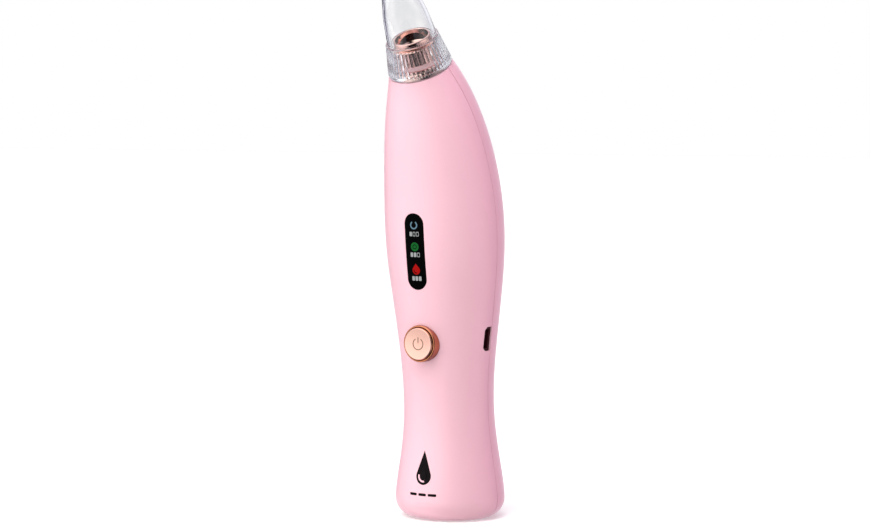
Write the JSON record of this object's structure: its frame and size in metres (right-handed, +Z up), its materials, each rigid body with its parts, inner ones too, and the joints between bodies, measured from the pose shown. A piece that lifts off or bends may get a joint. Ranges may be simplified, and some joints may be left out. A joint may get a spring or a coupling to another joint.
{
  "type": "blackhead vacuum extractor",
  "caption": "Upright pebble-shaped skin suction wand with a clear ribbed tip, a round push button, a pill-shaped display, a charging socket, and a motor-driven diaphragm pump inside.",
  "frame": {"origin": "centre of the flat base that the wand stands on", "axes": "+Z up from the base to the suction tip, -Y the front with the button and the display, +X the side with the charging socket"},
  "size_m": [0.0412, 0.0573, 0.1847],
  "materials": {
    "pink_shell": "satin",
    "rose_gold": "polished",
    "clear_plastic": "clear",
    "black_gloss": "gloss",
    "white_plastic": "matt",
    "black_plastic": "matt",
    "grey_plastic": "matt",
    "circuit_board": "solder mask",
    "led": "gloss",
    "steel": "plain",
    "copper": "bright",
    "bronze": "sintered",
    "magnet": "dull",
    "pink_silicone": "translucent",
    "black_rubber": "matt",
    "clear_silicone": "translucent",
    "foam": "open cell",
    "cell_wrap": "shrink wrap",
    "wire_jacket": "smooth",
    "nickel": "bright"
  },
  "bodies": {
    "housing": {"front_shell": "pink_shell", "rear_shell": "pink_shell", "display_lens": "black_gloss", "light_guide": "white_plastic", "display_board": "circuit_board", "display_leds": "led", "display_ribbon": "copper", "button_bezel": "rose_gold", "tact_switch_body": "black_plastic", "switch_dome": "steel", "main_pcb": "circuit_board", "pcb_components": "black_plastic", "pcb_screws": "steel", "usb_shell": "nickel", "usb_tongue": "black_plastic", "usb_grommet": "black_plastic", "battery_cell": "cell_wrap", "battery_tabs": "nickel", "battery_pad": "foam", "battery_leads": "wire_jacket", "motor_leads": "wire_jacket", "motor_can": "steel", "motor_magnets": "magnet", "motor_end_cap": "white_plastic", "motor_terminals": "copper", "motor_brushes": "copper", "bush_lower": "bronze", "bush_upper": "bronze", "motor_sleeve": "black_rubber", "motor_bracket": "grey_plastic", "bracket_screws": "steel", "pump_housing": "grey_plastic", "pump_cover": "grey_plastic", "motor_screws": "steel", "diaphragm": "black_rubber", "valve_plate": "grey_plastic", "valve_flaps": "black_rubber", "pump_head": "grey_plastic", "pump_screws": "steel", "suction_tube": "clear_silicone", "suction_port": "rose_gold", "port_gasket": "black_rubber", "port_o_ring": "pink_silicone", "filter_sponge": "foam"},
    "button": {"button_cap": "rose_gold"},
    "switch_stem": {"switch_plunger": "black_plastic"},
    "rotor": {"motor_shaft": "steel", "armature_core": "steel", "armature_windings": "copper", "commutator": "copper", "crank_wheel": "white_plastic"},
    "rod": {"connecting_rod": "white_plastic", "crank_bearing": "steel"},
    "tip": {"clear_tip": "clear_plastic"}
  },
  "joints": [
    {"name": "button_press", "type": "slide", "parent": "housing", "child": "button", "axis": [0, 1, 0], "range_m": [0, 0.0005], "stiffness_N_per_m": 400, "springref_m": -0.0005},
    {"name": "switch_travel", "type": "slide", "parent": "housing", "child": "switch_stem", "axis": [0, 1, 0], "range_m": [0, 0.0005], "deforming": ["switch_dome"]},
    {"name": "tip_pull", "type": "slide", "parent": "housing", "child": "tip", "axis": [0, -0.4848, 0.8746], "range_m": [0, 0.03]},
    {"name": "rotor_spin", "type": "hinge", "parent": "housing", "child": "rotor", "pos_m": [0, -0.0055, 0.1], "axis": [0, 0, 1], "continuous": true, "deforming": ["diaphragm"]},
    {"name": "rod_turn", "type": "hinge", "parent": "rotor", "child": "rod", "pos_m": [-0.001, -0.0055, 0.115], "axis": [0, 0, 1], "continuous": true}
  ],
  "couplings": [
    {"joint": "switch_travel", "follows": "button_press", "ratio": 1},
    {"joint": "rod_turn", "follows": "rotor_spin", "ratio": -1}
  ]
}
